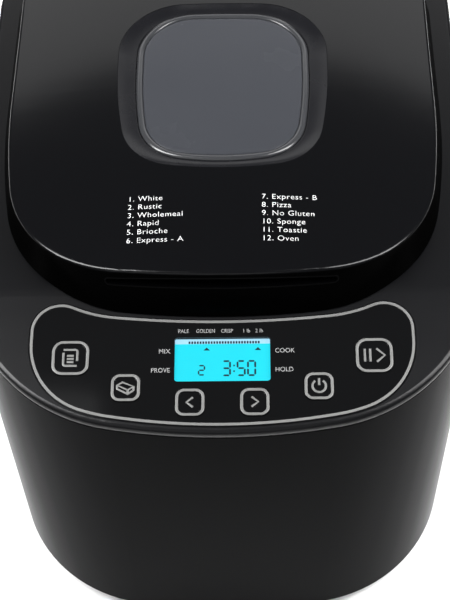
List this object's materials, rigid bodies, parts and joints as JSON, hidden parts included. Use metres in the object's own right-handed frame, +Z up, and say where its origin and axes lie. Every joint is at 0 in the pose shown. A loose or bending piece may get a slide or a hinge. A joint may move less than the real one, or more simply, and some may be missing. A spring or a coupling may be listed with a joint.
{
  "type": "bread machine",
  "caption": "Compact countertop bread machine: bowed black casing, sloping control panel with display, hinged crowned lid with window, chamber, removable pan and belt drive.",
  "frame": {"origin": "middle of the footprint, on the surface that the rubber feet stand on", "axes": "+X to the user's right, +Y to the back (the control panel faces -Y), +Z up"},
  "size_m": [0.296, 0.36, 0.2988],
  "materials": {
    "black_satin": "satin moulded plastic",
    "black_gloss": "polished moulded plastic",
    "dark_grey": "satin moulded plastic",
    "silver_print": "satin silver",
    "display": "backlit display",
    "clear_window": "clear",
    "tinted_glass": "tinted",
    "rubber_black": "moulded rubber",
    "silicone_grey": "silicone",
    "circuit_board": "solder mask",
    "component_black": "moulded component",
    "liner_steel": "rolled sheet",
    "zinc_steel": "zinc plated",
    "element_alloy": "heat darkened sheath",
    "ceramic_white": "unglazed ceramic",
    "cast_aluminium": "as cast",
    "nonstick_grey": "non-stick coating",
    "bright_wire": "bright drawn wire",
    "bronze": "sintered bronze",
    "copper": "enamelled copper wire",
    "laminated_steel": "stacked laminations",
    "nylon_white": "glass filled nylon"
  },
  "bodies": {
    "base": {"base_tray": "black_satin", "rubber_feet": "rubber_black", "base_screws": "zinc_steel", "outer_shell": "black_satin", "cord_gland": "rubber_black", "top_deck": "black_satin", "panel_trim": "silver_print", "control_panel": "black_gloss", "lcd_window": "clear_window", "lcd_module": "display", "control_board": "circuit_board", "tact_switches": "component_black", "oven_liner": "liner_steel", "heating_element": "element_alloy", "element_terminals": "ceramic_white", "element_brackets": "zinc_steel", "temperature_sensor": "zinc_steel", "pan_seat": "cast_aluminium", "chassis_plate": "zinc_steel", "chamber_posts": "zinc_steel", "chamber_screws": "zinc_steel", "bearing_housing": "cast_aluminium", "shaft_bearings": "bronze", "drive_belt": "rubber_black", "motor_laminations": "laminated_steel", "motor_windings": "copper", "motor_end_frames": "zinc_steel", "motor_screws": "zinc_steel", "motor_capacitor": "nylon_white", "power_board": "circuit_board", "hinge_pins": "zinc_steel"},
    "lid": {"lid_cover": "black_satin", "window_bezel": "dark_grey", "window_glass": "tinted_glass", "lid_inner_liner": "liner_steel", "inner_glass": "clear_window", "lid_seal": "silicone_grey", "lid_grip": "black_gloss", "lid_screws": "zinc_steel"},
    "drive": {"main_shaft": "zinc_steel", "driven_pulley": "nylon_white", "drive_coupling": "cast_aluminium"},
    "rotor": {"motor_rotor": "laminated_steel", "motor_shaft": "zinc_steel", "motor_pulley": "nylon_white", "motor_fan": "nylon_white"},
    "pan": {"bread_pan": "nonstick_grey", "pan_foot": "cast_aluminium", "pan_bush": "bronze", "pan_ears": "zinc_steel"},
    "handle": {"pan_handle": "bright_wire"},
    "paddle": {"kneading_paddle": "nonstick_grey", "pan_shaft": "zinc_steel", "pan_coupling": "cast_aluminium"},
    "menu_key": {"menu_button": "black_gloss"},
    "loaf_key": {"loaf_button": "black_gloss"},
    "down_key": {"down_button": "black_gloss"},
    "up_key": {"up_button": "black_gloss"},
    "power_key": {"power_button": "black_gloss"},
    "start_key": {"start_button": "black_gloss"}
  },
  "joints": [
    {"name": "lid_hinge", "type": "hinge", "parent": "base", "child": "lid", "pos_m": [0, 0.163, 0.2745], "axis": [-1, 0, 0], "range_deg": [0, 85]},
    {"name": "menu_press", "type": "slide", "parent": "base", "child": "menu_key", "axis": [0, 0.1392, -0.9903], "range_m": [0, 0.0008], "stiffness_N_per_m": 300, "springref_m": -0.001},
    {"name": "loaf_press", "type": "slide", "parent": "base", "child": "loaf_key", "axis": [0, 0.1392, -0.9903], "range_m": [0, 0.0008], "stiffness_N_per_m": 300, "springref_m": -0.001},
    {"name": "down_press", "type": "slide", "parent": "base", "child": "down_key", "axis": [0, 0.1392, -0.9903], "range_m": [0, 0.0008], "stiffness_N_per_m": 300, "springref_m": -0.001},
    {"name": "up_press", "type": "slide", "parent": "base", "child": "up_key", "axis": [0, 0.1392, -0.9903], "range_m": [0, 0.0008], "stiffness_N_per_m": 300, "springref_m": -0.001},
    {"name": "power_press", "type": "slide", "parent": "base", "child": "power_key", "axis": [0, 0.1392, -0.9903], "range_m": [0, 0.0008], "stiffness_N_per_m": 300, "springref_m": -0.001},
    {"name": "start_press", "type": "slide", "parent": "base", "child": "start_key", "axis": [0, 0.1392, -0.9903], "range_m": [0, 0.0008], "stiffness_N_per_m": 300, "springref_m": -0.001},
    {"name": "motor_spin", "type": "hinge", "parent": "base", "child": "rotor", "pos_m": [0.042, -0.116, 0.06], "axis": [0, 0, 1], "continuous": true},
    {"name": "drive_spin", "type": "hinge", "parent": "base", "child": "drive", "pos_m": [0, 0.037, 0.05], "axis": [0, 0, 1], "continuous": true},
    {"name": "pan_twist", "type": "hinge", "parent": "base", "child": "pan", "pos_m": [0, 0.037, 0.07], "axis": [0, 0, 1], "range_deg": [0, 12]},
    {"name": "paddle_spin", "type": "hinge", "parent": "pan", "child": "paddle", "pos_m": [0, 0.037, 0.09], "axis": [0, 0, 1], "continuous": true},
    {"name": "pan_handle_hinge", "type": "hinge", "parent": "pan", "child": "handle", "pos_m": [0, 0.037, 0.229], "axis": [1, 0, 0], "range_deg": [0, 25]}
  ],
  "couplings": [
    {"joint": "drive_spin", "follows": "motor_spin", "ratio": 0.21739},
    {"joint": "paddle_spin", "follows": "motor_spin", "ratio": 0.21739}
  ]
}
